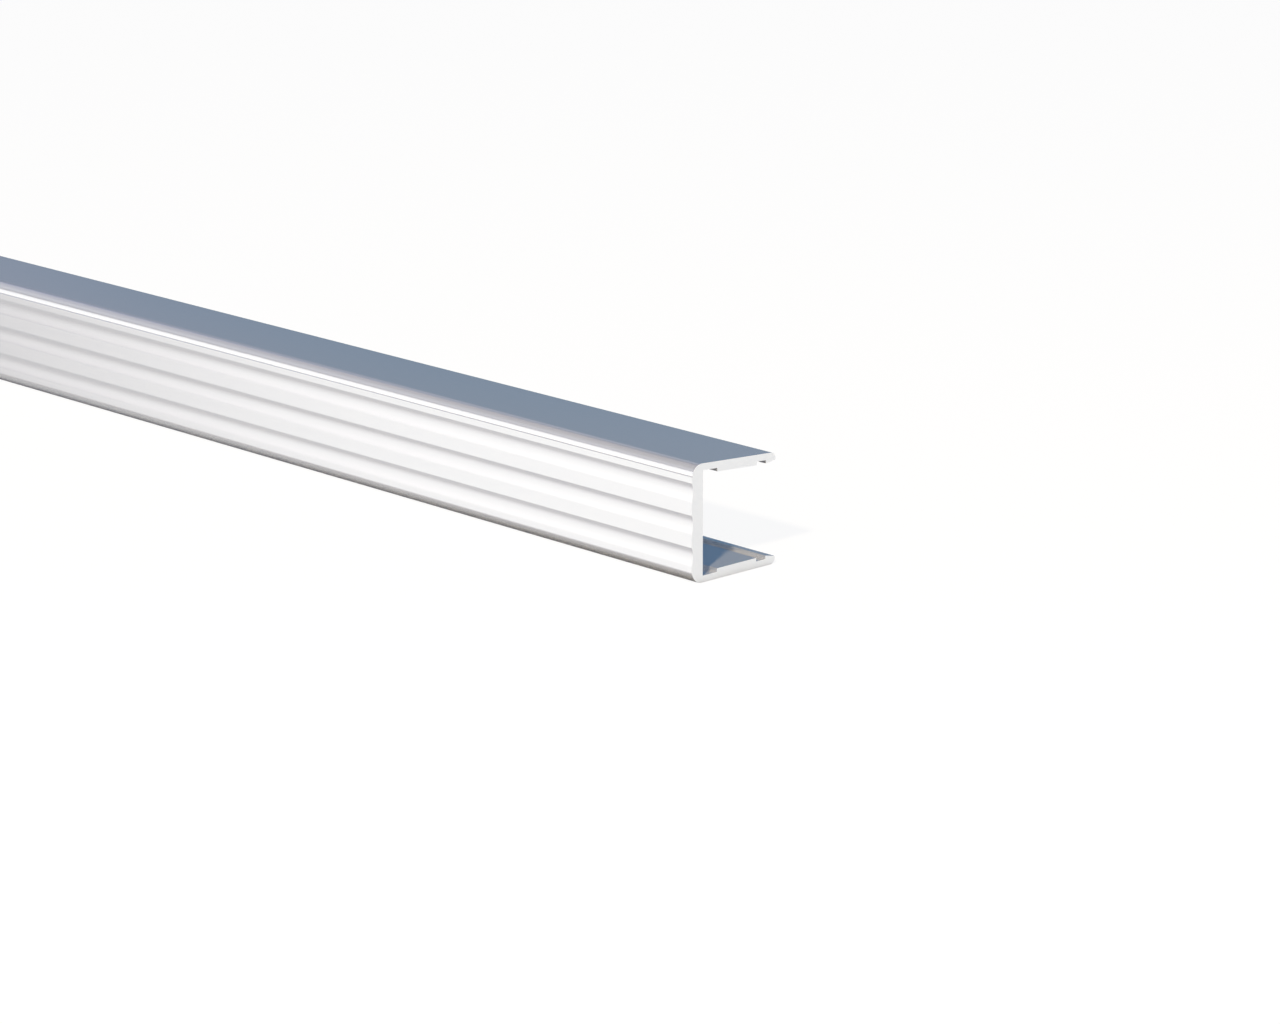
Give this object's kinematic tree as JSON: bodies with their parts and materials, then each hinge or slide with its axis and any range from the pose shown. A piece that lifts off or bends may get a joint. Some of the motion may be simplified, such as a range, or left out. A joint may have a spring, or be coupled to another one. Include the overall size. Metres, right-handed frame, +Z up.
{
  "type": "aluminium edging profile",
  "caption": "Straight U-shaped aluminium extrusion with a fluted outer face, rounded corners and grooved inner flanges that grip the edge of a board.",
  "frame": {"origin": "under the middle of the bar, on the surface that it lies on", "axes": "+X along the bar, +Y out of the open side between the flanges, +Z up; the bar lies on one flange and its fluted web faces -Y"},
  "size_m": [1, 0.0206, 0.0218],
  "materials": {
    "aluminium": "satin mill finish, sawn ends"
  },
  "bodies": {
    "root": {"profile": "aluminium"}
  },
  "joints": []
}
